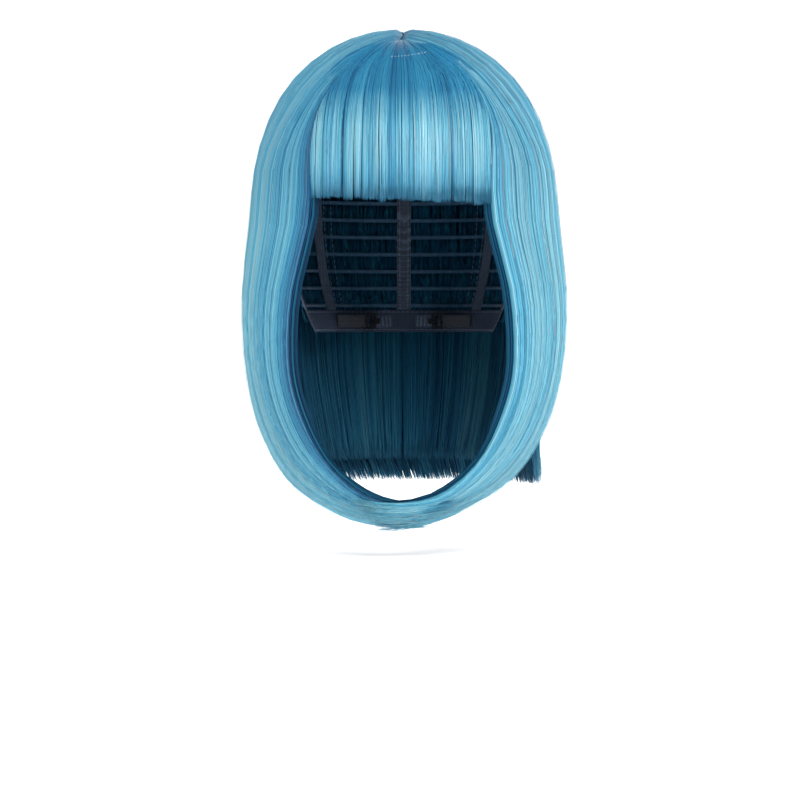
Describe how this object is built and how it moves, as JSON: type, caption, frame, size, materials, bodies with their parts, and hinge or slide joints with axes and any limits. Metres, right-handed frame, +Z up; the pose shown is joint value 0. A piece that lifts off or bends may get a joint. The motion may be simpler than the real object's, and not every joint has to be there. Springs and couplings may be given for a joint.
{
  "type": "costume wig",
  "caption": "Straight bob costume wig with a blunt fringe, a crown parting, long sides that curl in under the chin, and a sewn weft cap with nape adjusters.",
  "frame": {"origin": "middle of the head's girth plane inside the cap, at brow height, where the wearer's head sits", "axes": "+Z up when worn, -Y out of the face opening, +X to the wearer's left"},
  "size_m": [0.1982, 0.2201, 0.3099],
  "materials": {
    "hair": "glossy straight fibre",
    "inner_hair": "glossy straight fibre",
    "cap_net": "open knitted net",
    "cap_cloth": "soft brushed tricot",
    "lace_tape": "woven lace tape",
    "weft_track": "machine-sewn thread",
    "parting_skin": "matt skin mesh",
    "elastic": "ribbed elastic",
    "moulded_hook": "satin"
  },
  "bodies": {
    "cap": {"crown_net": "cap_net", "front_band": "cap_cloth", "nape_band": "cap_cloth", "parting_skin": "parting_skin", "crown_hair_left": "hair", "crown_hair_right": "hair", "rib_tape_centre": "lace_tape", "rib_tape_left": "lace_tape", "rib_tape_right": "lace_tape", "ear_tab_left": "cap_cloth", "ear_tape_left": "lace_tape", "loop_tape_left": "lace_tape", "adjuster_strap_left": "elastic", "ear_tab_right": "cap_cloth", "ear_tape_right": "lace_tape", "loop_tape_right": "lace_tape", "adjuster_strap_right": "elastic", "back_weft_track_1": "weft_track", "back_weft_track_2": "weft_track", "back_weft_track_3": "weft_track", "back_weft_track_4": "weft_track", "back_weft_track_5": "weft_track", "back_weft_track_6": "weft_track", "back_weft_track_7": "weft_track", "crown_weft_track_1": "weft_track", "crown_weft_track_2": "weft_track", "crown_weft_track_3": "weft_track", "crown_weft_track_4": "weft_track", "front_weft_track_1": "weft_track", "front_weft_track_2": "weft_track", "front_weft_track_3": "weft_track"},
    "fringe": {"fringe_hair": "hair"},
    "side_left": {"side_hair_left": "hair"},
    "side_right": {"side_hair_right": "hair"},
    "back_length": {"back_hair": "hair"},
    "nape_layer": {"nape_hair": "inner_hair"},
    "hook_left": {"strap_hook_left": "moulded_hook"},
    "hook_right": {"strap_hook_right": "moulded_hook"}
  },
  "joints": [
    {"name": "fringe_lift", "type": "hinge", "parent": "cap", "child": "fringe", "pos_m": [0, -0.066, 0.022], "axis": [-1, 0, 0], "range_deg": [0, 20]},
    {"name": "side_left_swing", "type": "hinge", "parent": "cap", "child": "side_left", "pos_m": [0.086, 0, 0.012], "axis": [0, -1, 0], "range_deg": [0, 20], "stiffness_Nm_per_rad": 0.3, "springref_deg": -2.86},
    {"name": "side_right_swing", "type": "hinge", "parent": "cap", "child": "side_right", "pos_m": [-0.086, 0, 0.012], "axis": [0, 1, 0], "range_deg": [0, 20], "stiffness_Nm_per_rad": 0.3, "springref_deg": -2.86},
    {"name": "back_swing", "type": "hinge", "parent": "cap", "child": "back_length", "pos_m": [0, 0.06, 0.012], "axis": [1, 0, 0], "range_deg": [0, 15]},
    {"name": "nape_swing", "type": "hinge", "parent": "cap", "child": "nape_layer", "pos_m": [0, 0.05, -0.064], "axis": [1, 0, 0], "range_deg": [0, 12]},
    {"name": "adjuster_left_slide", "type": "slide", "parent": "cap", "child": "hook_left", "axis": [-0.8343, 0.5513, 0], "range_m": [0, 0.01], "deforming": ["adjuster_strap_left"]},
    {"name": "adjuster_right_slide", "type": "slide", "parent": "cap", "child": "hook_right", "axis": [0.8343, 0.5513, 0], "range_m": [0, 0.01], "deforming": ["adjuster_strap_right"]}
  ],
  "couplings": [
    {"joint": "nape_swing", "follows": "back_swing", "ratio": 0.8}
  ]
}
